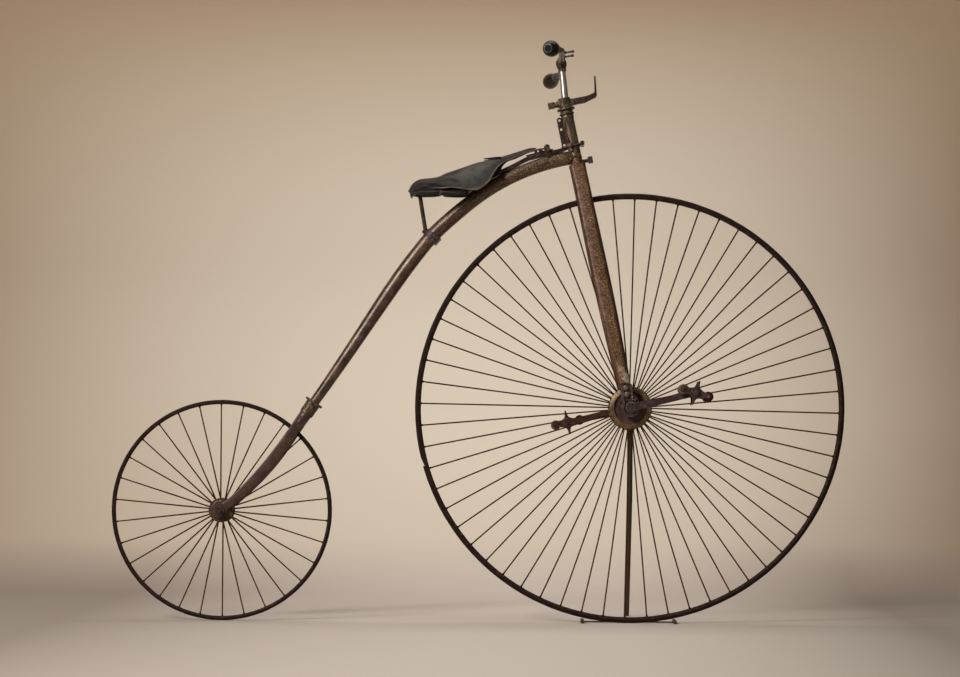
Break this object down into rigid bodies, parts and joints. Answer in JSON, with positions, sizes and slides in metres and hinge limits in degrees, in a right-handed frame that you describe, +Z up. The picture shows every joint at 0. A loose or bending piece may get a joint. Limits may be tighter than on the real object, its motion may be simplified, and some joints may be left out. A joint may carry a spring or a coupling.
{
  "type": "high-wheel bicycle on a display stand",
  "caption": "Antique high-wheel bicycle: a tall spoked front wheel with cranks and pedals, a curved backbone, a small rear wheel, a sprung leather saddle and a propping leg.",
  "frame": {"origin": "on the floor, midway along the length, in the plane of both wheels", "axes": "+X forward, +Y the rider's left, +Z up"},
  "size_m": [2.0776, 0.6088, 1.6043],
  "materials": {
    "blackened_rubber": "hardened, dull",
    "rusted_rim": "rusty brown-black",
    "spoke_wire": "rusty",
    "hub_brass": "tarnished",
    "rusted_steel": "worn enamel over rust",
    "dark_steel": "dark brown patina",
    "bright_steel": "polished",
    "horn": "dark horn",
    "ring_metal": "tarnished, greenish",
    "leather": "dry, cracked",
    "pedal_rubber": "perished",
    "stand_black": "black paint"
  },
  "bodies": {
    "steering": {"fork_leg_right": "rusted_steel", "fork_leg_left": "rusted_steel", "axle_bearing_right": "dark_steel", "axle_bearing_left": "dark_steel", "fork_crown": "rusted_steel", "crown_bolt": "dark_steel", "head_spindle": "bright_steel", "adjusting_nut": "rusted_steel", "top_clamp": "rusted_steel", "lamp_bracket": "dark_steel", "handlebar": "rusted_steel", "handlebar_post": "bright_steel", "bar_lug": "rusted_steel", "grip_right": "horn", "grip_left": "horn", "grip_rings": "ring_metal", "stand_leg": "stand_black", "stand_clip": "stand_black", "wheel_chocks": "stand_black"},
    "front_wheel": {"front_tyre": "blackened_rubber", "front_rim": "rusted_rim", "front_spokes": "spoke_wire", "front_hub": "hub_brass", "front_axle": "dark_steel", "crank_right": "dark_steel", "crank_left": "dark_steel", "pedal_pins": "dark_steel"},
    "pedal_right": {"pedal_cage_right": "dark_steel", "pedal_rollers_right": "pedal_rubber"},
    "pedal_left": {"pedal_cage_left": "dark_steel", "pedal_rollers_left": "pedal_rubber"},
    "frame": {"backbone": "rusted_steel", "neck": "rusted_steel", "spring_bracket": "rusted_steel", "backbone_socket": "rusted_steel", "rear_fork": "rusted_steel", "rear_axle": "dark_steel", "spring_yoke": "dark_steel", "saddle_spring": "dark_steel", "spring_clip": "dark_steel", "nose_plate": "dark_steel", "saddle": "leather", "saddle_rails": "dark_steel", "stay_clamp": "dark_steel", "saddle_stay": "dark_steel"},
    "rear_wheel": {"rear_tyre": "blackened_rubber", "rear_rim": "rusted_rim", "rear_spokes": "spoke_wire", "rear_hub": "hub_brass"}
  },
  "joints": [
    {"name": "steering_swivel", "type": "hinge", "parent": "steering", "child": "frame", "pos_m": [0.271, 0, 1.318], "axis": [-0.2045, 0, 0.9789], "range_deg": [-40, 40]},
    {"name": "front_wheel_spin", "type": "hinge", "parent": "steering", "child": "front_wheel", "pos_m": [0.4293, 0, 0.6095], "axis": [0, 1, 0], "continuous": true},
    {"name": "pedal_right_spin", "type": "hinge", "parent": "front_wheel", "child": "pedal_right", "pos_m": [0.60378, -0.1685, 0.64946], "axis": [0, 1, 0], "continuous": true},
    {"name": "pedal_left_spin", "type": "hinge", "parent": "front_wheel", "child": "pedal_left", "pos_m": [0.25482, 0.1685, 0.56954], "axis": [0, 1, 0], "continuous": true},
    {"name": "rear_wheel_spin", "type": "hinge", "parent": "frame", "child": "rear_wheel", "pos_m": [-0.7261, 0, 0.3127], "axis": [0, 1, 0], "continuous": true}
  ]
}
